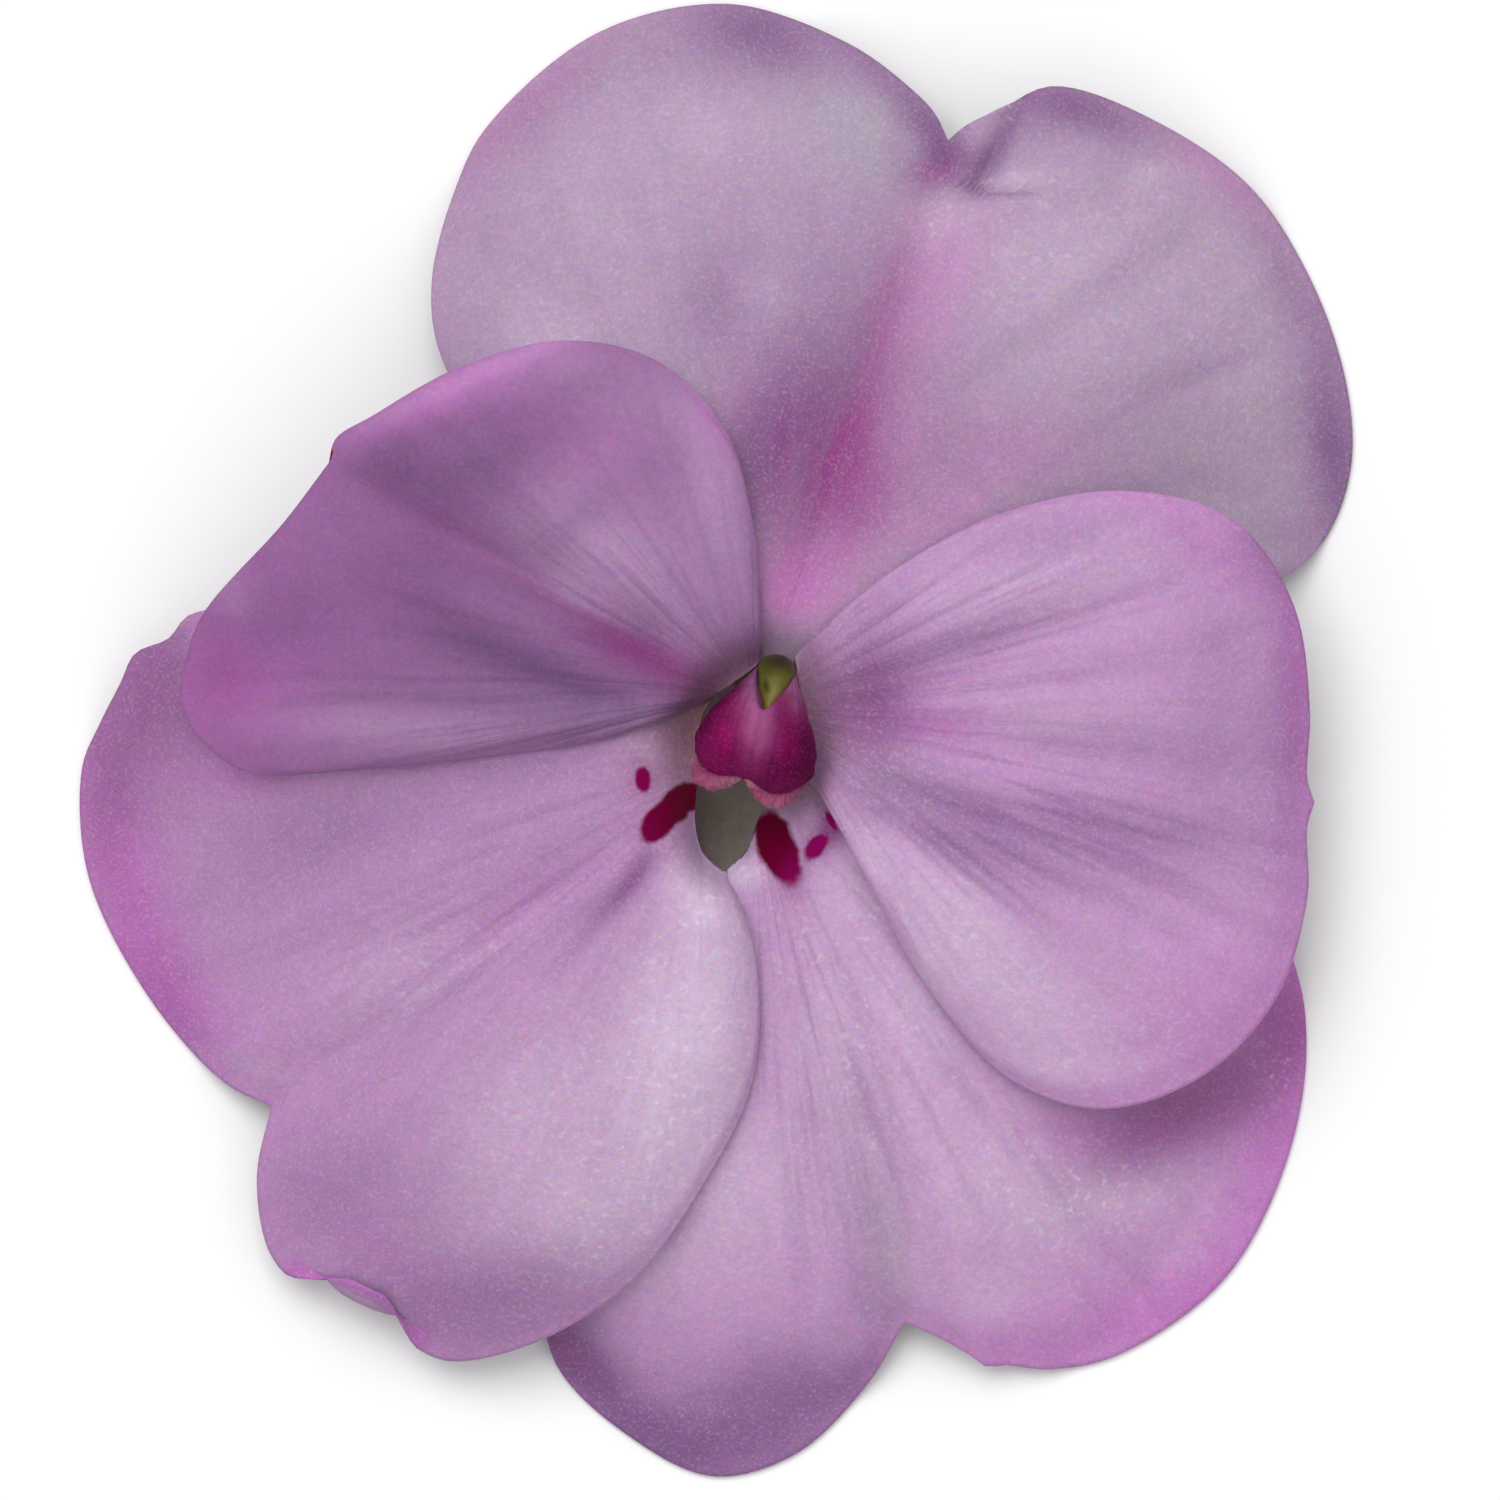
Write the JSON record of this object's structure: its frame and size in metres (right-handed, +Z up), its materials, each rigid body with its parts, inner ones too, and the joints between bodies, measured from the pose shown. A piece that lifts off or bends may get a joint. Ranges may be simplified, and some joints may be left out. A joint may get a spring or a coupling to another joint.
{
  "type": "new guinea impatiens bloom",
  "caption": "Picked impatiens bloom lying face up: overlapping notched lilac petals, magenta stamen hood in the throat, thin nectar spur and short stalk behind.",
  "frame": {"origin": "on the surface that the bloom lies on, under the middle of the bounding box", "axes": "+Z is up, out of the bloom's face; +Y points towards the top petal; +X to the bloom's right as seen from above"},
  "size_m": [0.0536, 0.062, 0.0114],
  "materials": {
    "top_petal": "soft petal, pale greyish lilac with a magenta streak",
    "wing_petals": "soft petal, lilac pink with darker veins",
    "stamen_hood": "smooth deep magenta",
    "anther_rim": "matt pale pink, wrinkled",
    "ovary": "smooth yellow green",
    "spurred_sepal": "thin pale sepal, whitish pink",
    "green_sepals": "thin green sepal",
    "stalk": "smooth green, slightly reddish"
  },
  "bodies": {
    "root": {"top_petal": "top_petal", "left_wing_petals": "wing_petals", "right_wing_petals": "wing_petals", "stamen_hood": "stamen_hood", "anther_rim": "anther_rim", "ovary": "ovary", "spurred_sepal": "spurred_sepal", "left_sepal": "green_sepals", "right_sepal": "green_sepals", "stalk": "stalk"}
  },
  "joints": []
}
